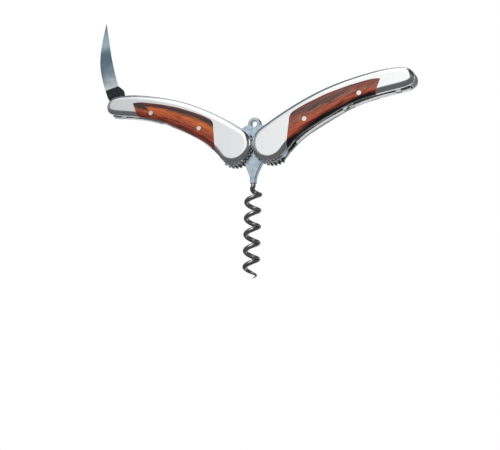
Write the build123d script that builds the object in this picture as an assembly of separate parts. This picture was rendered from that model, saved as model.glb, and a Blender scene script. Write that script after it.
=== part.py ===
from build123d import *
from math import atan2, cos, degrees, hypot, pi, radians, sin, sqrt
import os

# ---------------------------------------------------------------- dimensions, mm
# Row frame: origin on the worm's axis where it leaves the plate, +Z up, -Y front.
PIVOT_X = 9.78          # half the distance between the two wing pivots
PIVOT_Z = 19.2          # height of the pivots above the origin
REST_DEG = 24.0         # angle of each wing above level at rest

PLATE_T = 2.8
SHOULDER_R = 8.6
TAB_Z = 11.05           # hanging hole above the pivots
TAB_R = 3.25
HOLE_R = 1.6

LINER_IN = 1.5          # inner face of a liner, from the mid plane
LINER_OUT = 2.9         # outer face of a liner, where the shell and the scale sit
WING_HALF = 5.7         # half the wing's thickness
EDGE_R = 2.6            # rounding of the wing's outer edges
END_R = 9.1             # radius of the shell's round end
END_AT = (-0.3, 0.25)   # and its middle

MODULE = 0.65
TEETH = 30
BACKLASH = 0.12
FIRST_TOOTH = 122.0     # first and last direction that may carry a tooth
LAST_TOOTH = 280.0

PIVOT_PIN_R = 3.0
PIN_RUN = 0.05          # radial clearance of a running pin
RIVET_HEAD_R = 1.15
RIVET_SHANK_R = 0.9
RIVETS = [(20.45, 1.8), (49.45, 0.15)]

FOOT_PIVOT = (15.5, -0.75)
FOOT_T = 2.6
FOOT_PIN_R = 1.1
LINK_PIVOT = (42.6, -0.3)
LINK_PIN_R = 0.7
TONGUE_T = 1.0
FOOT_PROUD = 0.35       # how far the foot stands out of the slot

BLADE_PIVOT = (71.2, -1.2)
BLADE_REST = 52.24      # direction of the blade in the wing's own plane at rest
BLADE_STOWED = 172.0
BLADE_T = 2.3
BLADE_PIN_R = 1.3

WIRE_R = 1.2
COIL_R = 3.05
COIL_PITCH = 8.0
WORM_TIP_Z = -46.6
TAPER_Z = -41.0         # height where the ground point starts
COIL_TOP = -6.4         # height where the first turn has its full radius
SHANK_TOP = 6.8
SHANK_R = 1.15          # the shank is brazed into the plate
COIL_PHASE = 20.0       # direction of the wire at COIL_Z
COIL_Z = -6.2
WORM_TURN = -49.5       # the finished worm's turn about its axis

# the wing's outline, from the round end along the lower edge, round the tip and back
LOWER = [(20.0, -2.7), (36.0, -1.6), (53.0, -3.05), (66.0, -6.4), (71.4, -7.6)]
UPPER = [(25.6, 11.75), (43.4, 10.45), (60.6, 6.8), (71.0, 3.0), (74.3, 0.95), (76.1, -4.56), (71.4, -7.6)]
END_LOW = -60.0         # directions where the round end meets the lower and upper edges
END_HIGH = 100.0
INLAY_TOP = [(17.2, 8.0), (20.0, 8.25), (24.6, 8.3), (30.3, 8.05), (36.0, 7.65), (41.4, 6.85), (46.8, 5.95),
             (52.1, 4.75), (57.3, 3.4), (61.5, 1.45)]


# ---------------------------------------------------------------- helpers
def at(radius, angle):
    return (radius * cos(radians(angle)), radius * sin(radians(angle)))


def slab(face, low, high):
    """Extrude a flat face from one depth to another; depth grows towards the front."""
    return Pos(0, 0, low) * extrude(face, high - low)


def disc(centre, radius, low, high):
    return Pos(centre[0], centre[1], (low + high) / 2) * Cylinder(radius, high - low)


def round_end(angle):
    x, y = at(END_R, angle)
    return (x + END_AT[0], y + END_AT[1])


def polygon(points):
    return make_face(Polyline(*points, close=True))


def upright(shape):
    """Turn a shape drawn flat so that its depth points to the front."""
    return Rot(90, 0, 0) * shape


def on_right(shape):
    """Place a shape drawn in the wing's own plane on the right wing."""
    return Pos(PIVOT_X, 0, PIVOT_Z) * Rot(0, -REST_DEG, 0) * upright(shape)


def on_left(shape):
    return mirror(on_right(shape), about=Plane.YZ)


def to_back(shape):
    return mirror(shape, about=Plane.XY)


# ---------------------------------------------------------------- wing outlines
def smooth_arcs(start, heading, points):
    """Arcs through the points, each one tangent to the one before it."""
    arcs = []
    for stop in points:
        chord = degrees(atan2(stop[1] - start[1], stop[0] - start[0]))
        turn = (chord - heading + 180.0) % 360.0 - 180.0
        reach = hypot(stop[0] - start[0], stop[1] - start[1]) / 2 / cos(radians(turn / 2))
        way = radians(chord - turn / 2)
        middle = (start[0] + reach * cos(way), start[1] + reach * sin(way))
        arcs.append(ThreePointArc(start, middle, stop))
        heading = heading + 2 * turn
        start = stop
    return arcs


def upper_edge():
    return smooth_arcs(round_end(END_HIGH), END_HIGH - 90, UPPER)


def lower_edge():
    return smooth_arcs(round_end(END_LOW), END_LOW + 90, LOWER)


def shell_outline():
    """Outline of the shells: round end, lower edge, tip and top edge."""
    arc = ThreePointArc(round_end(END_HIGH), round_end(180), round_end(END_LOW))
    return make_face(Wire([arc] + lower_edge() + upper_edge()))


def tooth_points(centre):
    """Points of one tooth, going round the wheel the positive way."""
    pitch_r = MODULE * TEETH / 2
    half = degrees((pi * MODULE / 2 - BACKLASH) / 2 / pitch_r)
    rows = [(pitch_r - 0.66 * MODULE, half * 1.47), (pitch_r - 0.35 * MODULE, half * 1.29), (pitch_r, half),
            (pitch_r + 0.4 * MODULE, half * 0.76), (pitch_r + 0.6 * MODULE, half * 0.58)]
    rising = [at(r, centre - a) for r, a in rows]
    falling = [at(r, centre + a) for r, a in reversed(rows)]
    return rising + falling


def liner_outline(phase):
    """Outline of a liner; phase is the direction of one tooth's middle."""
    root_r = MODULE * TEETH / 2 - 0.66 * MODULE
    low = lower_edge()
    low[0] = low[0].trim(0.42, 1.0)
    entry = low[0] @ 0
    first = phase
    while first - 360.0 / TEETH >= FIRST_TOOTH:
        first -= 360.0 / TEETH
    points = [round_end(END_HIGH), at(root_r - 0.1, 114)]
    centre = first
    while centre <= LAST_TOOTH:
        points += tooth_points(centre)
        centre += 360.0 / TEETH
    last = centre - 360.0 / TEETH
    points += [at(root_r, last + 5), round_end(292), round_end(304), (8.2, -6.0), (entry.X, entry.Y)]
    rim = Polyline(*points)
    return make_face(Wire(list(rim.edges()) + low + upper_edge()))


def inlay_outline():
    """Outline of the inlay; it runs out over the wing's lower edge."""
    inner = Line((5.85, -8.0), (13.4, 5.1))
    corner = ThreePointArc((13.4, 5.1), (14.75, 7.05), (17.2, 8.0))
    top = Spline(*INLAY_TOP)
    outer = Line((61.5, 1.45), (52.5, -7.4))
    base = Line((52.5, -7.4), (5.85, -8.0))
    return make_face(Wire([inner, corner, top, outer, base]))


def wing_half():
    """Solid of one half of a wing outside the liner, with its edge rounded."""
    body = slab(shell_outline(), LINER_OUT, WING_HALF)
    face = body.faces().sort_by(Axis.Z)[-1]
    return fillet(face.edges(), EDGE_R)


# ---------------------------------------------------------------- wing parts, drawn in the wing's plane
def shell():
    body = wing_half() - slab(inlay_outline(), LINER_OUT - 1, WING_HALF + 1)
    body -= disc((0, 0), PIVOT_PIN_R, 0, 4.35)
    body -= disc(BLADE_PIVOT, BLADE_PIN_R, 0, 3.85)
    return body


def scale():
    body = wing_half() & slab(inlay_outline(), LINER_OUT - 1, WING_HALF + 1)
    for spot in RIVETS:
        body -= disc(spot, RIVET_SHANK_R, 0, 9)
        body -= disc(spot, RIVET_HEAD_R, WING_HALF - 1.0, 9)
    return body


def liner(phase):
    body = slab(liner_outline(phase), LINER_IN, LINER_OUT)
    body -= disc((0, 0), PIVOT_PIN_R, 0, 9)
    body -= disc(FOOT_PIVOT, FOOT_PIN_R, 0, 9)
    body -= disc(BLADE_PIVOT, BLADE_PIN_R, 0, 9)
    for spot in RIVETS:
        body -= disc(spot, RIVET_SHANK_R, 0, 9)
    return body


def rivets():
    """Two through rivets with a flush head at each end."""
    solids = []
    for spot in RIVETS:
        body = disc(spot, RIVET_SHANK_R, -WING_HALF, WING_HALF)
        body += disc(spot, RIVET_HEAD_R, WING_HALF - 1.0, WING_HALF + 0.04)
        body += disc(spot, RIVET_HEAD_R, -WING_HALF - 0.04, 1.0 - WING_HALF)
        solids.append(body)
    return Compound(children=solids)


def wing_face():
    return shell_outline()


def foot_space(gap):
    """Room the stowed foot takes in the slot, and the sweep of its heel as it swings out."""
    a = FOOT_PIVOT
    top = [(8.0, 0.75), (14.0, 0.75), (19.0, 0.35), (23.0, 0.1), (34.0, 0.5), (40.0, 1.4), (45.0, 1.4),
           (45.9, -0.75), (52.0, -1.55), (58.0, -2.65), (62.0, -3.75), (66.0, -4.85), (70.0, -6.05), (72.5, -6.8)]
    under = polygon([(8.0, -12.0)] + [(u, v + gap) for u, v in top] + [(72.5, -12.0)])
    room = slab(under, -9, 9)
    room += disc(a, 3.1 + gap, -9, 9)
    sweep_side = Pos(a[0], a[1], 0) * Rot(0, 0, 25) * (Pos(0, 15, 0) * Box(30, 30, 18))
    left_side = Pos(a[0] - 9, a[1], 0) * Box(18, 24, 24)
    heel = disc(a, 6.7, -9, 9)
    return room + (heel & sweep_side) + (heel & left_side)


def blade_outline():
    """Outline of the foil blade; the pivot is the origin and the tip lies along +X."""
    spine = [(4.5, -5.8), (6.9, -6.3), (10.2, -6.75), (13.3, -7.1), (17.4, -7.35), (21.5, -7.4), (24.9, -7.15),
             (28.2, -6.6), (32.5, -5.5), (36.7, -4.1), (40.3, -2.75), (43.9, -1.25), (47.2, 0.1)]
    edge = [(46.1, 0.1), (42.1, -0.1), (37.4, -0.25), (32.2, -0.45), (26.4, -0.55), (21.1, -0.4), (15.7, -0.1),
            (11.0, 0.35)]
    back = Spline(*spine)
    nose = Line((47.2, 0.1), (46.1, 0.1))
    cut = Spline(*edge)
    heel = Polyline((11.0, 0.35), (10.2, 0.9), (9.1, 1.7), (8.0, 2.6), (6.1, 2.8), (2.4, 2.75))
    back_arc = ThreePointArc((2.4, 2.75), (-3.55, 0.1), (2.0, -3.1))
    shoulder = Line((2.0, -3.1), (4.5, -5.8))
    return make_face(Wire([back, nose, cut, *heel.edges(), back_arc, shoulder]))


def place_blade(shape, angle):
    return Pos(BLADE_PIVOT[0], BLADE_PIVOT[1], 0) * Rot(0, 0, angle) * shape


def blade():
    """Foil blade: full-thickness tang, hollow of the bevel ground to a thin edge."""
    body = slab(blade_outline(), -BLADE_T / 2, BLADE_T / 2)
    for side in (1, -1):
        # a block tilted about the blade's length, its face running from the edge to the spine
        block = Pos(0, 0, side * 5) * Box(50, 30, 10)
        body -= Pos(35.4, 0.3, side * 0.13) * Rot(-8.2 * side, 0, 0) * block
    body -= disc((0, 0), BLADE_PIN_R + PIN_RUN, -9, 9)
    return body


def left_spacer():
    """Bar between the liners: blade slot above it, foot slot below it."""
    bar = slab(wing_face(), -LINER_IN, LINER_IN)
    bar -= foot_space(0.35)
    bar -= disc((0, 0), 9.4, -9, 9)
    bar -= slab(polygon([(-20, -20), (8.6, -20), (8.6, 20), (-20, 20)]), -9, 9)
    bar -= disc(BLADE_PIVOT, 9.6, -9, 9)
    gap = polygon([(66.0, -2.8), (60.3, -1.0), (55.6, 0.45), (50.2, 1.5), (45.0, 2.4), (39.2, 3.25), (34.1, 3.6),
                   (29.5, 4.1), (25.4, 4.4), (22.9, 4.8), (22.9, 20.0), (80.0, 20.0), (80.0, -2.8)])
    bar -= slab(gap, -9, 9)
    for spot in RIVETS:
        bar -= disc(spot, RIVET_SHANK_R, -9, 9)
    return bar


def right_spacer():
    """Bar between the liners that fills all but the foot's slot."""
    bar = slab(wing_face(), -LINER_IN, LINER_IN)
    bar -= foot_space(0.35)
    bar -= disc((0, 0), 9.4, -9, 9)
    bar -= slab(polygon([(-20, -20), (8.6, -20), (8.6, 20), (-20, 20)]), -9, 9)
    bar -= disc(BLADE_PIVOT, BLADE_PIN_R, -9, 9)
    for spot in RIVETS:
        bar -= disc(spot, RIVET_SHANK_R, -9, 9)
    return bar


def foot_under(first, last):
    """Points of the foot's lower edge between two stations; it stands out more towards the toe."""
    edge = [(11.3, -4.93), (12.6, -4.47), (14.0, -4.03), (17.0, -3.25), (20.0, -2.7), (24.0, -2.19), (28.0, -1.83),
            (32.0, -1.64), (36.0, -1.6), (40.4, -1.73), (44.2, -1.98), (47.0, -2.25), (50.0, -2.61), (55.0, -3.4),
            (60.0, -4.56), (64.0, -5.79), (67.0, -6.86), (70.0, -7.7)]
    return [(u, v - FOOT_PROUD - 0.0043 * (u - 11.3)) for u, v in edge if first <= u <= last]


def foot_link():
    """Upper link of the bottle foot: heel, pivot eye, first notch and forked end."""
    a = FOOT_PIVOT
    b = LINK_PIVOT
    half = FOOT_T / 2
    outline = foot_under(11, 41) + [(41.2, -0.9), (b[0], b[1] + 1.7), (40.4, 1.4), (34.0, 0.5), (23.0, 0.1),
                                    (19.0, 0.3), (17.5, 1.5), (13.0, 0.75), (11.3, -0.25)]
    body = slab(polygon(outline), -half, half)
    body += disc(a, 3.0, -half, half)
    body += disc(b, 1.7, -half, half)
    # rest for the bottle's rim beside the hinge
    body -= slab(polygon([(38.4, -3.2), (38.6, -1.45), (41.2, -1.1), (42.0, -3.2)]), -half - 1, half + 1)
    # slot for the end link's tongue
    body -= disc(b, 2.0, -TONGUE_T / 2 - 0.08, TONGUE_T / 2 + 0.08)
    body -= slab(polygon([(b[0], -6), (48, -6), (48, 5), (b[0], 5)]), -TONGUE_T / 2 - 0.08, TONGUE_T / 2 + 0.08)
    body -= disc(a, FOOT_PIN_R + PIN_RUN, -9, 9)
    body -= disc(b, LINK_PIN_R, -9, 9)
    return body


def foot_end():
    """End link of the bottle foot: tongue, bar and stepped toe."""
    b = LINK_PIVOT
    half = FOOT_T / 2
    outline = foot_under(44, 71) + [(71.4, -8.6), (72.0, -8.3), (72.0, -7.1), (70.0, -6.3), (66.0, -5.1),
                                    (62.0, -4.0), (58.0, -2.9), (52.0, -1.75), (46.5, -0.95), (44.2, 0.0)]
    bar = slab(polygon(outline), -half, half)
    bar -= disc(b, 1.95, -9, 9)
    # second rest for the bottle's rim, just inside the toe
    bar -= slab(polygon([(64.4, -8.4), (64.6, -5.85), (67.2, -6.6), (67.7, -9.0)]), -half - 1, half + 1)
    tongue = disc(b, 1.55, -TONGUE_T / 2, TONGUE_T / 2)
    tongue += slab(polygon([(b[0], b[1] - 1.5), (45.4, -2.1), (45.4, -0.85), (b[0], b[1] + 1.5)]),
                   -TONGUE_T / 2, TONGUE_T / 2)
    body = bar + tongue
    body -= disc(b, LINK_PIN_R + PIN_RUN, -9, 9)
    return body


def pin(centre, radius, half):
    body = disc(centre, radius, -half, half)
    return chamfer(body.edges().filter_by(GeomType.CIRCLE), 0.15)


# ---------------------------------------------------------------- centre plate and worm
def centre_plate():
    """Flat plate with a hanging tab, two pivot shoulders and a point for the worm."""
    half = PLATE_T / 2
    t = TAB_Z
    low_side = Spline((1.3, -19.0), (1.6, -15.7), (2.65, -12.8), (4.35, -9.3), (5.9, -6.4))
    shoulder_low = (PIVOT_X + SHOULDER_R * cos(radians(-118)), SHOULDER_R * sin(radians(-118)))
    shoulder_top = (PIVOT_X + SHOULDER_R * cos(radians(95)), SHOULDER_R * sin(radians(95)))
    arc = ThreePointArc(shoulder_low, (PIVOT_X + SHOULDER_R, 0), shoulder_top)
    flare = Spline(shoulder_top, (6.0, 9.4), (4.35, 10.2), at_tab(0), tangents=[(-0.97, 0.22), (0.0, 1.0)])
    crown = ThreePointArc(at_tab(0), (0, t + TAB_R), at_tab(180))
    rest = [low_side, Line((5.9, -6.4), shoulder_low), arc, flare]
    left = [mirror(edge, about=Plane.YZ) for edge in rest]
    base = Line((1.3, -19.0), (-1.3, -19.0))
    edges = []
    for item in rest + left:
        edges += item.edges()
    face = make_face(Wire(edges + [crown, base]))
    body = slab(face, -half, half)
    for x in (PIVOT_X, -PIVOT_X):
        body -= disc((x, 0), PIVOT_PIN_R + PIN_RUN, -9, 9)
    body = body - disc((0, t), HOLE_R, -9, 9)
    rim = body.edges().filter_by(GeomType.CIRCLE)
    rim = [e for e in rim if abs(e.arc_center.X) < 0.1 and abs(e.radius - HOLE_R) < 0.01]
    body = fillet(rim, 0.45)
    for side in (0, -1):
        body = chamfer(body.faces().sort_by(Axis.Z)[side].outer_wire().edges(), 0.25)
    plate = Pos(0, 0, PIVOT_Z) * upright(body)
    return plate - Pos(0, 0, (SHANK_TOP - 1) / 2) * Cylinder(SHANK_R, SHANK_TOP + 1)


def at_tab(angle):
    return (TAB_R * cos(radians(angle)), TAB_Z + TAB_R * sin(radians(angle)))


def coil_point(z):
    """Centre of the wire at a height below the plate."""
    angle = COIL_PHASE + (z - COIL_Z) / COIL_PITCH * 360.0
    grow = min(1.0, max(0.0, -(z + 0.4) / 6.0))
    grow = grow * grow * (3 - 2 * grow)
    close = min(1.0, max(0.0, (z - WORM_TIP_Z) / (TAPER_Z - WORM_TIP_Z)))
    close = close * close * (3 - 2 * close)
    radius = COIL_R * grow * (0.75 + 0.25 * close)
    x, y = at(radius, angle)
    return Vector(x, y, z)


def coil_heading(z):
    """Direction in which the wire runs down at a height."""
    return (coil_point(z - 0.01) - coil_point(z + 0.01)).normalized()


def coil_path(high, low, count):
    """Middle line of the wire between two heights."""
    heights = [high + (low - high) * i / count for i in range(count + 1)]
    return Spline(*[coil_point(z) for z in heights], tangents=[coil_heading(high), coil_heading(low)])


def worm():
    """Round wire: straight shank in the plate, growing first turn, coils and a ground point."""
    shank = Pos(0, 0, (SHANK_TOP - 0.5) / 2) * Cylinder(SHANK_R, SHANK_TOP + 0.5)
    start = Plane(origin=coil_point(-0.4), z_dir=coil_heading(-0.4))
    lead = sweep(start * Circle(WIRE_R), path=coil_path(-0.4, COIL_TOP, 6), is_frenet=False)
    coil = Helix(pitch=COIL_PITCH, height=COIL_TOP - TAPER_Z, radius=COIL_R)
    turn = COIL_PHASE + (TAPER_Z - COIL_Z) / COIL_PITCH * 360.0
    main = sweep(Plane(origin=coil @ 0, z_dir=coil % 0) * Circle(WIRE_R), path=coil, is_frenet=True)
    main = Pos(0, 0, TAPER_Z) * Rot(0, 0, turn) * main
    starts = Plane(origin=coil_point(TAPER_Z), z_dir=coil_heading(TAPER_Z))
    ends = Plane(origin=coil_point(WORM_TIP_Z), z_dir=coil_heading(WORM_TIP_Z))
    sections = [starts * Circle(WIRE_R), ends * Circle(0.18)]
    point = sweep(sections=sections, path=coil_path(TAPER_Z, WORM_TIP_Z, 10), multisection=True)
    return Rot(0, 0, WORM_TURN) * (shank + (lead + main) + point)


# ---------------------------------------------------------------- all parts
def build():
    right_phase = 180.0 - REST_DEG
    left_phase = right_phase + 180.0 / TEETH
    half_shell = shell()
    half_scale = scale()
    parts = {"centre_plate": centre_plate(), "worm": worm()}
    places = {"right": on_right, "left": on_left}
    phases = {"right": right_phase, "left": left_phase}
    link = foot_link()
    end = foot_end()
    for side in ("right", "left"):
        put = places[side]
        lining = liner(phases[side])
        parts[side + "_front_shell"] = put(half_shell)
        parts[side + "_back_shell"] = put(to_back(half_shell))
        parts[side + "_front_scale"] = put(half_scale)
        parts[side + "_back_scale"] = put(to_back(half_scale))
        parts[side + "_front_liner"] = put(lining)
        parts[side + "_back_liner"] = put(to_back(lining))
        parts[side + "_rivets"] = put(rivets())
        parts[side + "_pivot_pin"] = put(pin((0, 0), PIVOT_PIN_R, 4.3))
        parts[side + "_foot_pin"] = put(pin(FOOT_PIVOT, FOOT_PIN_R, LINER_OUT))
        parts[side + "_tip_pin"] = put(pin(BLADE_PIVOT, BLADE_PIN_R, 3.8))
        parts[side + "_foot_link"] = put(link)
        parts[side + "_foot_end"] = put(end)
        parts[side + "_foot_end_pin"] = put(pin(LINK_PIVOT, LINK_PIN_R, FOOT_T / 2))
    parts["right_spacer"] = on_right(right_spacer())
    parts["left_spacer"] = on_left(left_spacer())
    parts["foil_blade"] = on_left(place_blade(blade(), BLADE_REST))
    return parts


os.makedirs("parts", exist_ok=True)
for name, shape in build().items():
    export_step(shape, "parts/" + name + ".step")
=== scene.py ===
import math

import bpy
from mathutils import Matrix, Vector

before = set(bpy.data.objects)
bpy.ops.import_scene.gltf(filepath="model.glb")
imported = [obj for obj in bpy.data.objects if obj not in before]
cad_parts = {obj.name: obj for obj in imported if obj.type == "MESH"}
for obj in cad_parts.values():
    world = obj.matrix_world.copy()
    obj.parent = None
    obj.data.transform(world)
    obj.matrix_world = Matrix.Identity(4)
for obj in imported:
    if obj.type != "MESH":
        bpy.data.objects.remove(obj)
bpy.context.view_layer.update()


# ---- Centre plate --------------------------------------------------------------
# The flat steel plate between the two wings. It is stamped from 2.8 mm stainless
# sheet, tumbled, and carries the ring at the top and the worm at the bottom.

MM = 0.001
SKIN_DEPTH = 0.02 * MM      # how far the fine marks of a metal finish go in
PLATE_CLOUD = 2.2 * MM
PLATE_PIT = 0.25 * MM       # several times the real pits, which would be lost


def linear(code):
    """An sRGB hex colour as the linear values that a shader takes."""
    parts = [int(code[i:i + 2], 16) / 255 for i in (1, 3, 5)]
    return [p / 12.92 if p <= 0.04045 else ((p + 0.055) / 1.055) ** 2.4 for p in parts] + [1.0]


def feed(tree, node, inputs):
    """Gives a node's inputs their values or links."""
    for socket, value in inputs.items():
        if isinstance(value, bpy.types.NodeSocket):
            tree.links.new(value, node.inputs[socket])
        else:
            node.inputs[socket].default_value = value


def add(tree, kind, settings=None, inputs=None, stops=()):
    """Adds one node, with its settings, its inputs and, on a colour ramp, its stops."""
    node = tree.nodes.new("ShaderNode" + kind)
    for name, value in (settings or {}).items():
        setattr(node, name, value)
    feed(tree, node, inputs or {})
    for i, (place, code) in enumerate(stops):
        elements = node.color_ramp.elements
        stop = elements[i] if i < len(elements) else elements.new(place)
        stop.position = place
        stop.color = linear(code)
    return node


def bare(name):
    """A new material with nothing in it but its shader and its output."""
    made = bpy.data.materials.new(name)
    made.use_nodes = True
    tree = made.node_tree
    tree.nodes.clear()
    shader = add(tree, "BsdfPrincipled")
    add(tree, "OutputMaterial", inputs={"Surface": shader.outputs["BSDF"]})
    return made, tree, shader


def dress(material, *names):
    """Gives CAD nodes their finish."""
    for name in names:
        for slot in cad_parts[name].material_slots:
            slot.material = material


# Tumbled stainless sheet: cool and pale, cloudy where the tumbling bit unevenly,
# with fine pits that only take the edge off the shine.
plate_steel, tree, shader = bare("tumbled_stainless_sheet")
place = add(tree, "TexCoord").outputs["Object"]
cloud = add(tree, "TexNoise", inputs={"Vector": place, "Scale": 1 / PLATE_CLOUD,
                                      "Detail": 4.0, "Roughness": 0.6})
tone = add(tree, "ValToRGB", inputs={"Fac": cloud.outputs["Fac"]},
           stops=[(0.32, "#A6BCCD"), (0.52, "#C6D7E3"), (0.72, "#E4EEF4")])
shine = add(tree, "MapRange", inputs={"Value": cloud.outputs["Fac"],
                                      "To Min": 0.30, "To Max": 0.42})
pits = add(tree, "TexNoise", inputs={"Vector": place, "Scale": 1 / PLATE_PIT, "Detail": 2.0})
skin = add(tree, "Bump", inputs={"Strength": 0.12, "Distance": SKIN_DEPTH,
                                 "Height": pits.outputs["Fac"]})
feed(tree, shader, {"Base Color": tone.outputs["Color"], "Metallic": 1.0,
                    "Roughness": shine.outputs["Result"], "Normal": skin.outputs["Normal"]})
dress(plate_steel, "centre_plate")


# ---- Worm ----------------------------------------------------------------------
# The screw that goes into the cork: 2.4 mm hardened wire, wound open, ground to
# a point, polished and pressed up into the plate's lower point.

BROWN_REFLECTION_PATCH = 3.0 * MM
DRAWING_MARK = 0.3 * MM

# Polished spring steel: almost a mirror, so it shows the light and dark of the room
# in long stripes, with faint brown patches along the wire that are a painted brownish reflection.
worm_steel, tree, shader = bare("polished_spring_steel")
place = add(tree, "TexCoord").outputs["Object"]
# faint brown patches: a painted reflection
brown_reflection = add(tree, "TexNoise", inputs={"Vector": place, "Scale": 1 / BROWN_REFLECTION_PATCH, "Detail": 3.0})
tone = add(tree, "ValToRGB", inputs={"Fac": brown_reflection.outputs["Fac"]},
           stops=[(0.35, "#A8A4A1"), (0.55, "#B9B6B4"), (0.7, "#C6C6C8")])
drawn = add(tree, "TexNoise", inputs={"Vector": place, "Scale": 1 / DRAWING_MARK, "Detail": 2.0})
skin = add(tree, "Bump", inputs={"Strength": 0.08, "Distance": SKIN_DEPTH,
                                 "Height": drawn.outputs["Fac"]})
feed(tree, shader, {"Base Color": tone.outputs["Color"], "Metallic": 1.0,
                    "Roughness": 0.1, "Normal": skin.outputs["Normal"]})
dress(worm_steel, "worm")


# ---- Geared liners and spacers -------------------------------------------------
# Each wing is built on two 1.4 mm steel liners with teeth cut round their inner
# ends, held apart by a spacer. The teeth of the two wings mesh with each other.

LINER_CLOUD = 1.5 * MM
SCUFF = 0.2 * MM            # coarser than the real scratches, so that they show


def both_wings(*parts):
    """The names of the same pieces in the left and in the right wing."""
    return [side + part for side in ("left_", "right_") for part in parts]


# Blanked stainless sheet, vibro-finished: a flat mid grey that mirrors little, partly painted
# shade of the liners' recessed faces below the shells, with faint scratches along no one
# direction.
liner_steel, tree, shader = bare("blanked_steel_sheet")
place = add(tree, "TexCoord").outputs["Object"]
cloud = add(tree, "TexNoise", inputs={"Vector": place, "Scale": 1 / LINER_CLOUD,
                                      "Detail": 5.0, "Roughness": 0.65})
tone = add(tree, "ValToRGB", inputs={"Fac": cloud.outputs["Fac"]},
           stops=[(0.35, "#8A8B90"), (0.65, "#B4B5B9")])
scuffs = add(tree, "TexNoise", inputs={"Vector": place, "Scale": 1 / SCUFF, "Detail": 3.0})
skin = add(tree, "Bump", inputs={"Strength": 0.2, "Distance": SKIN_DEPTH,
                                 "Height": scuffs.outputs["Fac"]})
feed(tree, shader, {"Base Color": tone.outputs["Color"], "Metallic": 1.0,
                    "Roughness": 0.42, "Normal": skin.outputs["Normal"]})
dress(liner_steel, *both_wings("front_liner", "back_liner", "spacer"))


# ---- Wing shells ---------------------------------------------------------------
# The bright halves of each wing: investment-cast stainless, ground and buffed to
# a satin, with a recess for the wood, riveted through the liners.

BUFFING_STREAK = (0.5 * MM, 6 * MM, 14 * MM)      # along, through and up the wing

# Buffed cast stainless: nearly white, a soft satin with the faintest cross-wing
# drag of the buffing wheel.
shell_steel, tree, shader = bare("buffed_cast_stainless")
place = add(tree, "TexCoord").outputs["Object"]
drag = add(tree, "Mapping", inputs={"Vector": place,
                                    "Scale": [1 / size for size in BUFFING_STREAK]})
streak = add(tree, "TexNoise", inputs={"Vector": drag.outputs["Vector"],
                                       "Scale": 1.0, "Detail": 3.0})
tone = add(tree, "ValToRGB", inputs={"Fac": streak.outputs["Fac"]},
           stops=[(0.3, "#F6F7F7"), (0.7, "#FDFDFD")])
shine = add(tree, "MapRange", inputs={"Value": streak.outputs["Fac"],
                                      "To Min": 0.17, "To Max": 0.25})
skin = add(tree, "Bump", inputs={"Strength": 0.05, "Distance": SKIN_DEPTH,
                                 "Height": streak.outputs["Fac"]})
feed(tree, shader, {"Base Color": tone.outputs["Color"], "Metallic": 1.0,
                    "Roughness": shine.outputs["Result"], "Normal": skin.outputs["Normal"]})
dress(shell_steel, *both_wings("front_shell", "back_shell"))


# ---- Wood inlays ---------------------------------------------------------------
# A shaped slip of resin-filled rosewood laid in each shell's recess, flush with
# the metal, held by two rivets, sanded round with the steel and oiled.

WING_PIVOT = (9.78 * MM, 0.0, 19.2 * MM)    # right wing's hinge; the left one mirrors it
WING_LIFT = math.radians(24)                # of both wings above level
# The slip's top edge and the wing's lower edge are arcs of one bend. Each has its
# crest's height above the hinge and that crest's distance along the wing.
TOP_ARC = (8.3 * MM, 24.6 * MM)
LOWER_ARC = (-1.6 * MM, 36.0 * MM)
ARC_BEND = 0.005 / MM
RING = (30 * MM, 5 * MM, 1.6 * MM)          # growth rings: length, depth and width
RING_WANDER = 0.34                          # of the slip's width, that the bands drift
PORE = (5 * MM, 0.6 * MM, 0.4 * MM)         # coarser than real pores, so that they show
PORE_DEPTH = 0.03 * MM
THROUGH = 100 * MM                          # a figure's half depth: right through a wing
FIGURE_RAGGED = 1.4                         # of its half size, that the rings push its rim
FIGURE_RIM = (0.65, 1.15)                   # of its half size, where it fades out


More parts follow.
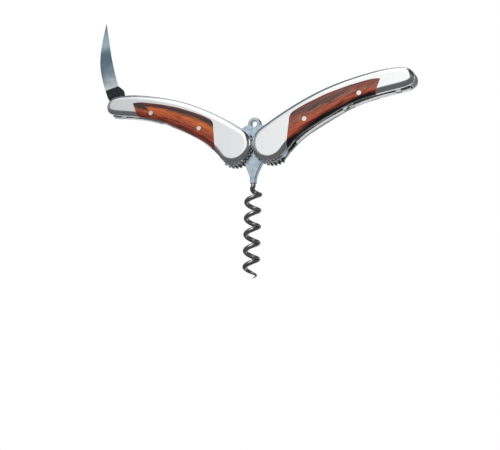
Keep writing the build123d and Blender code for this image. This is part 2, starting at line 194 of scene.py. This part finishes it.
def rosewood(name, side, seed, bands, figure_and_sheen):
    """Oiled rosewood whose bands follow the slip's long edges, with one dark patch and pores.

    side is -1 for the left wing, and bands are the colours from the top edge down; those at the
    lower edge darken as painted shade of the rounded underside. The patch is the wood's own dark
    grain on the left wing and a painted grey sheen on the right; it has its middle and half size
    along and up the wing, its turn, strength and colour.
    """
    made, tree, shader = bare(name)
    place = add(tree, "TexCoord").outputs["Object"]
    along = add(tree, "Mapping", {"vector_type": "TEXTURE"},
                {"Vector": place, "Location": (side * WING_PIVOT[0], 0, WING_PIVOT[2]),
                 "Rotation": (0, -side * WING_LIFT, 0), "Scale": (side, 1, 1)}).outputs["Vector"]

    # how far across the slip a point lies: 0 on its top edge, 1 on the wing's lower edge
    axes = add(tree, "SeparateXYZ", inputs={"Vector": along})
    edges = []
    for crest_height, crest in (TOP_ARC, LOWER_ARC):
        out = add(tree, "Math", {"operation": "SUBTRACT"}, {0: axes.outputs["X"], 1: crest})
        square = add(tree, "Math", {"operation": "POWER"}, {0: out.outputs[0], 1: 2.0})
        edge = add(tree, "Math", {"operation": "MULTIPLY_ADD"},
                   {0: square.outputs[0], 1: -ARC_BEND, 2: crest_height})
        edges.append(edge.outputs[0])
    below = add(tree, "Math", {"operation": "SUBTRACT"}, {0: edges[0], 1: axes.outputs["Z"]})
    width = add(tree, "Math", {"operation": "SUBTRACT"}, {0: edges[0], 1: edges[1]})
    across = add(tree, "Math", {"operation": "DIVIDE"}, {0: below.outputs[0], 1: width.outputs[0]})

    # bands of colour that wander across the slip with the growth rings; the dark bands at the
    # lower edge are painted shade of the rounded underside
    ring_place = add(tree, "Mapping", inputs={"Vector": along, "Location": (seed, seed, seed),
                                              "Scale": [1 / size for size in RING]})
    ring = add(tree, "TexNoise", inputs={"Vector": ring_place.outputs["Vector"], "Scale": 1.0,
                                         "Detail": 3.0, "Roughness": 0.6, "Distortion": 0.4})
    wander = add(tree, "Math", {"operation": "MULTIPLY_ADD"},
                 {0: ring.outputs["Fac"], 1: RING_WANDER, 2: -RING_WANDER / 2})
    shifted = add(tree, "Math", {"operation": "ADD"}, {0: across.outputs[0], 1: wander.outputs[0]})
    bands_with_painted_light = add(tree, "ValToRGB", inputs={"Fac": shifted.outputs[0]}, stops=bands)

    # the dark patch, ragged where it meets the rings: the wood's own dark grain on the left wing,
    # a painted grey sheen on the right
    half = (figure_and_sheen["half"][0], THROUGH, figure_and_sheen["half"][1])
    spot = add(tree, "Mapping", {"vector_type": "TEXTURE"},
               {"Vector": along, "Location": (figure_and_sheen["middle"][0], 0, figure_and_sheen["middle"][1]),
                "Rotation": (0, figure_and_sheen["turn"], 0), "Scale": half})
    from_middle = add(tree, "VectorMath", {"operation": "LENGTH"}, {0: spot.outputs["Vector"]})
    ragged = add(tree, "Math", {"operation": "MULTIPLY_ADD"},
                 {0: ring.outputs["Fac"], 1: FIGURE_RAGGED, 2: -FIGURE_RAGGED / 2})
    reach = add(tree, "Math", {"operation": "ADD"},
                {0: from_middle.outputs["Value"], 1: ragged.outputs[0]})
    inside = add(tree, "MapRange", {"interpolation_type": "SMOOTHSTEP"},
                 {"Value": reach.outputs[0], "From Min": FIGURE_RIM[0],
                  "From Max": FIGURE_RIM[1], "To Min": figure_and_sheen["strength"], "To Max": 0.0})
    with_figure_and_sheen = add(tree, "Mix", {"data_type": "RGBA"},
                  {"Factor": inside.outputs["Result"], "A": bands_with_painted_light.outputs["Color"],
                   "B": linear(figure_and_sheen["colour"])})

    # pores: short dark dashes with the grain
    pore_place = add(tree, "Mapping", inputs={"Vector": along, "Location": (seed, 0, seed),
                                              "Scale": [1 / size for size in PORE]})
    fine = add(tree, "TexNoise", inputs={"Vector": pore_place.outputs["Vector"], "Scale": 1.0,
                                         "Detail": 4.0, "Roughness": 0.7})
    pores = add(tree, "ValToRGB", inputs={"Fac": fine.outputs["Fac"]},
                stops=[(0.36, "#6A4034"), (0.48, "#DCC8BE"), (0.58, "#FFFFFF")])
    colour = add(tree, "Mix", {"data_type": "RGBA", "blend_type": "MULTIPLY"},
                 {"Factor": 0.9, "A": with_figure_and_sheen.outputs[2], "B": pores.outputs["Color"]})
    skin = add(tree, "Bump", inputs={"Strength": 0.15, "Distance": PORE_DEPTH,
                                     "Height": fine.outputs["Fac"]})
    feed(tree, shader, {"Base Color": colour.outputs[2], "Roughness": 0.45,
                        "Normal": skin.outputs["Normal"],
                        "Coat Weight": 0.15, "Coat Roughness": 0.3})
    return made


# The left wing's slips are orange, with a nearly black band below the top edge, a dark patch of
# grain near the tip, and darker red at the lower edge that is painted shade of the rounded
# underside.
left_wood = rosewood(
    "oiled_rosewood_orange", -1, 3.1,
    [(0.0, "#8A3A2C"), (0.07, "#7A3A30"), (0.12, "#3E2C2A"), (0.2, "#4A302A"), (0.27, "#B45420"),
     (0.36, "#DC6C24"), (0.5, "#D0601E"), (0.6, "#BE5018"), (0.66, "#CC5618"), (0.70, "#5A1E10"),
     (0.74, "#B84418"), (0.82, "#A83A16"), (0.86, "#4A1410"), (0.90, "#9A3416"), (1.0, "#6A2010")],
    {"middle": (57.5 * MM, 1.4 * MM), "half": (6.5 * MM, 2.0 * MM), "turn": 0,
     "strength": 0.92, "colour": "#3A2C2B"})
# The right wing's are a quieter pinkish brown, partly painted sheen of the oil, that turns orange
# and then nearly black at the lower edge, where the black is painted shade of the rounded
# underside, with one long grey streak that is a painted sheen.
right_wood = rosewood(
    "oiled_rosewood_brown", 1, 7.7,
    [(0.0, "#5A2A24"), (0.06, "#8A4438"), (0.16, "#9E5444"), (0.3, "#A35C49"), (0.45, "#B06852"),
     (0.60, "#AC5A42"), (0.70, "#CC5A24"), (0.80, "#B44218"), (0.86, "#5A1A10"),
     (0.93, "#1A0806"), (1.0, "#0C0404")],
    # the long grey streak: a painted sheen
    {"middle": (33.0 * MM, 5.0 * MM), "half": (17.0 * MM, 1.5 * MM), "turn": math.radians(4),
     "strength": 0.8, "colour": "#58504F"})
dress(left_wood, "left_front_scale", "left_back_scale")
dress(right_wood, "right_front_scale", "right_back_scale")


# ---- Rivets and hinge pins -----------------------------------------------------
# Stainless rivets through wood, shells and liners, and the plain pins that the
# wings, the blade and the feet turn on. Their heads are filed flush and polished.

FILE_MARK = 0.35 * MM

# Polished stainless: bright, close to a mirror, softened by hand filing.
rivet_steel, tree, shader = bare("filed_and_polished_stainless")
place = add(tree, "TexCoord").outputs["Object"]
file_marks = add(tree, "TexNoise", inputs={"Vector": place, "Scale": 1 / FILE_MARK, "Detail": 2.0})
tone = add(tree, "ValToRGB", inputs={"Fac": file_marks.outputs["Fac"]},
           stops=[(0.3, "#DCDDDD"), (0.7, "#F1F1F0")])
skin = add(tree, "Bump", inputs={"Strength": 0.1, "Distance": SKIN_DEPTH,
                                 "Height": file_marks.outputs["Fac"]})
feed(tree, shader, {"Base Color": tone.outputs["Color"], "Metallic": 1.0,
                    "Roughness": 0.18, "Normal": skin.outputs["Normal"]})
dress(rivet_steel, *both_wings("rivets", "pivot_pin", "foot_pin", "tip_pin", "foot_end_pin"))


# ---- Feet ----------------------------------------------------------------------
# The two-link lever that folds into the underside of each wing and stands on the
# bottle's lip: 2.6 mm stainless bar, with a notched toe.

GRINDING_MARK = 0.9 * MM

# Ground stainless bar: pale grey satin, a little rougher than the shells.
foot_steel, tree, shader = bare("ground_stainless_bar")
place = add(tree, "TexCoord").outputs["Object"]
grind = add(tree, "TexNoise", inputs={"Vector": place, "Scale": 1 / GRINDING_MARK, "Detail": 4.0})
tone = add(tree, "ValToRGB", inputs={"Fac": grind.outputs["Fac"]},
           stops=[(0.3, "#D2D4D5"), (0.7, "#E8E9E9")])
skin = add(tree, "Bump", inputs={"Strength": 0.15, "Distance": SKIN_DEPTH,
                                 "Height": grind.outputs["Fac"]})
feed(tree, shader, {"Base Color": tone.outputs["Color"], "Metallic": 1.0,
                    "Roughness": 0.36, "Normal": skin.outputs["Normal"]})
dress(foot_steel, *both_wings("foot_link", "foot_end"))


# ---- Foil blade ----------------------------------------------------------------
# The curved knife that cuts the foil: 2.3 mm stainless, ground thin to the edge
# and satin finished, with an etched dark patch above its pivot.

PIVOT_ALONG, PIVOT_UP = 71.2 * MM, -1.2 * MM      # the blade's pin, from the left wing's hinge
BLADE_PIVOT = (
    -(WING_PIVOT[0] + PIVOT_ALONG * math.cos(WING_LIFT) - PIVOT_UP * math.sin(WING_LIFT)), 0.0,
    WING_PIVOT[2] + PIVOT_ALONG * math.sin(WING_LIFT) + PIVOT_UP * math.cos(WING_LIFT))
BLADE_LIFT = WING_LIFT + math.radians(52.24)
TANG_END = (10.1 * MM, 10.5 * MM)           # where the dark tang fades out, from the pin
GRIND_SPAN = (10 * MM, 48 * MM)             # the ground part, from the pin to the tip
BLADE_CLOUD = 4 * MM
CLOUD_DRIFT = 10 * MM                       # how far the clouds push the tones about
TANG_MOTTLE = 1.0 * MM

# Satin-ground stainless: cool blue-grey, with the grinding wheel's cloudy marks. The
# tang below the grind is left dark, as etching leaves it.
blade_steel, tree, shader = bare("satin_ground_blade_steel")
place = add(tree, "TexCoord").outputs["Object"]
along = add(tree, "Mapping", {"vector_type": "TEXTURE"},
            {"Vector": place, "Location": BLADE_PIVOT, "Rotation": (0, BLADE_LIFT, 0),
             "Scale": (-1, 1, 1)})
axes = add(tree, "SeparateXYZ", inputs={"Vector": along.outputs["Vector"]})
cloud = add(tree, "TexNoise", inputs={"Vector": place, "Scale": 1 / BLADE_CLOUD,
                                      "Detail": 5.0, "Roughness": 0.6})
drift = add(tree, "Math", {"operation": "MULTIPLY_ADD"},
            {0: cloud.outputs["Fac"], 1: CLOUD_DRIFT, 2: -CLOUD_DRIFT / 2})
station = add(tree, "Math", {"operation": "ADD"}, {0: axes.outputs["X"], 1: drift.outputs[0]})
share = add(tree, "MapRange", inputs={"Value": station.outputs[0], "From Min": GRIND_SPAN[0],
                                      "From Max": GRIND_SPAN[1]})
tone = add(tree, "ValToRGB", inputs={"Fac": share.outputs["Result"]},
           stops=[(0.0, "#C4CACD"), (0.1, "#AAB3B8"), (0.22, "#7C8C96"), (0.42, "#566874"),
                  (0.55, "#5C6E78"), (0.66, "#98ABB5"), (0.8, "#879AA4"), (1.0, "#626E76")])
tang = add(tree, "MapRange", inputs={"Value": axes.outputs["X"], "From Min": TANG_END[0],
                                     "From Max": TANG_END[1]})
mottle = add(tree, "TexNoise", inputs={"Vector": place, "Scale": 1 / TANG_MOTTLE, "Detail": 3.0})
dark = add(tree, "ValToRGB", inputs={"Fac": mottle.outputs["Fac"]},
           stops=[(0.4, "#2A2F31"), (0.7, "#4A5254")])
colour = add(tree, "Mix", {"data_type": "RGBA"},
             {"Factor": tang.outputs["Result"], "A": dark.outputs["Color"],
              "B": tone.outputs["Color"]})
skin = add(tree, "Bump", inputs={"Strength": 0.08, "Distance": SKIN_DEPTH,
                                 "Height": cloud.outputs["Fac"]})
feed(tree, shader, {"Base Color": colour.outputs[2], "Metallic": 1.0,
                    "Roughness": 0.3, "Normal": skin.outputs["Normal"]})
dress(blade_steel, "foil_blade")


# ---- Floor, light and camera ---------------------------------------------------
# A pale table a bottle's height below, a white backdrop all round with a few dark
# cards in it for the metal to mirror, and one soft lamp above and in front.

FLOOR_HEIGHT = -0.2
FLOOR_SIZE = 8
LAMP_PLACE = (0.0, -0.7, 0.9)
LAMP_TARGET = (0.0, 0.0, 0.03)              # the middle of the tool
LAMP_SIZE = 0.8
LAMP_WATTS = 2.0
CAMERA_PLACE = (0.213005, -0.51869, -0.134057)
CAMERA_TURN = (101.475, -1.468, 22.143)     # degrees
CAMERA_LENS = 85.19                         # mm, as is the sensor
CAMERA_SENSOR = 36
WHITE = (1, 1, 1, 1)
# Each card has the way it lies in, the cosines of the angles from that way at which it
# begins and is full, and its colour. Most are dark, and the ninth is a paler one.
CARDS = (((0.69, 0.12, 0.71), 0.70, 0.84, (0.02, 0.02, 0.022, 1)),
         ((0.62, -0.35, 0.70), 0.74, 0.88, (0.03, 0.03, 0.035, 1)),
         ((0.9, -0.42, -0.1), 0.60, 0.92, (0.16, 0.16, 0.17, 1)),
         ((0.8, 0.5, -0.3), 0.75, 0.95, (0.08, 0.08, 0.08, 1)),
         ((0.05, 0.92, 0.38), 0.85, 0.95, (0.25, 0.24, 0.23, 1)),
         ((-0.5, 0.66, 0.56), 0.80, 0.90, (0.06, 0.085, 0.10, 1)),
         ((-0.70, -0.05, 0.71), 0.84, 0.93, (0.10, 0.13, 0.15, 1)),
         ((-0.92, 0.35, 0.1), 0.80, 0.93, (0.10, 0.10, 0.11, 1)),
         ((-0.62, -0.76, 0.2), 0.94, 0.99, (0.84, 0.87, 0.89, 1)),
         ((-0.9, -0.42, 0.1), 0.66, 0.95, (0.25, 0.26, 0.27, 1)))
# The room's dark lower part, all round but behind the tool, by a direction's height and
# by how far back it points.
LOW_EDGE = (0.06, -0.08)
BACK_EDGE = (0.85, 0.55)
LOW_COLOUR = (0.12, 0.12, 0.125, 1)
# The soft light on the object comes mostly from above.
GLOW_HEIGHTS = (-0.8, 0.8)
GLOW_STRENGTHS = (0.3, 0.95)

bpy.ops.object.select_all(action="DESELECT")
bpy.ops.mesh.primitive_plane_add(size=FLOOR_SIZE, location=(0, 0, FLOOR_HEIGHT))
floor = bpy.context.object
floor.name = "floor"
paper, tree, shader = bare("white_paper")
feed(tree, shader, {"Base Color": linear("#F1F1EF"), "Roughness": 0.9})
floor.data.materials.append(paper)
# The metal doesn't mirror the floor: it mirrors the room's dark lower part instead.
floor.visible_glossy = False

world = bpy.data.worlds.new("studio")
bpy.context.scene.world = world
world.use_nodes = True
tree = world.node_tree
tree.nodes.clear()
ray = add(tree, "LightPath")
way = add(tree, "TexCoord").outputs["Generated"]
axis = add(tree, "SeparateXYZ", inputs={"Vector": way})

room = WHITE
for facing, start, full, tint in CARDS:
    turned = add(tree, "VectorMath", {"operation": "DOT_PRODUCT"}, {0: way, 1: facing})
    shade = add(tree, "MapRange", {"interpolation_type": "SMOOTHSTEP"},
                {"Value": turned.outputs["Value"], "From Min": start, "From Max": full})
    room = add(tree, "Mix", {"data_type": "RGBA"},
               {"Factor": shade.outputs["Result"], "A": room, "B": tint}).outputs[2]
low = add(tree, "MapRange", {"interpolation_type": "SMOOTHSTEP"},
          {"Value": axis.outputs["Z"], "From Min": LOW_EDGE[0], "From Max": LOW_EDGE[1]})
fore = add(tree, "MapRange", {"interpolation_type": "SMOOTHSTEP"},
           {"Value": axis.outputs["Y"], "From Min": BACK_EDGE[0], "From Max": BACK_EDGE[1]})
under = add(tree, "Math", {"operation": "MULTIPLY"},
            {0: low.outputs["Result"], 1: fore.outputs["Result"]})
room = add(tree, "Mix", {"data_type": "RGBA"},
           {"Factor": under.outputs[0], "A": room, "B": LOW_COLOUR}).outputs[2]

# The camera sees plain white, mirrors and glass see the room, and all else gets the glow.
seen = add(tree, "Mix", {"data_type": "RGBA"},
           {"Factor": ray.outputs["Is Camera Ray"], "A": room, "B": WHITE})
mirrored = add(tree, "Math", {"operation": "MAXIMUM"},
               {0: ray.outputs["Is Glossy Ray"], 1: ray.outputs["Is Transmission Ray"]})
shown = add(tree, "Math", {"operation": "MAXIMUM"},
            {0: ray.outputs["Is Camera Ray"], 1: mirrored.outputs[0]})
falling = add(tree, "MapRange",
              inputs={"Value": axis.outputs["Z"], "From Min": GLOW_HEIGHTS[0],
                      "From Max": GLOW_HEIGHTS[1], "To Min": GLOW_STRENGTHS[0],
                      "To Max": GLOW_STRENGTHS[1]})
glow = add(tree, "Background", inputs={"Color": WHITE, "Strength": falling.outputs["Result"]})
backdrop = add(tree, "Background", inputs={"Color": seen.outputs[2], "Strength": 1.0})
both = add(tree, "MixShader", inputs={0: shown.outputs[0], 1: glow.outputs[0],
                                      2: backdrop.outputs[0]})
add(tree, "OutputWorld", inputs={"Surface": both.outputs[0]})

bpy.ops.object.light_add(type="AREA", location=LAMP_PLACE)
lamp = bpy.context.object
lamp.name = "softbox_front"
lamp.data.size = LAMP_SIZE
lamp.data.energy = LAMP_WATTS
lamp_aim = Vector(LAMP_TARGET) - Vector(LAMP_PLACE)
lamp.rotation_euler = lamp_aim.to_track_quat("-Z", "Y").to_euler()

bpy.ops.object.camera_add(location=CAMERA_PLACE,
                          rotation=[math.radians(angle) for angle in CAMERA_TURN])
camera = bpy.context.object
camera.data.lens = CAMERA_LENS
camera.data.sensor_width = CAMERA_SENSOR
bpy.context.scene.camera = camera
bpy.context.scene.view_settings.view_transform = "Standard"
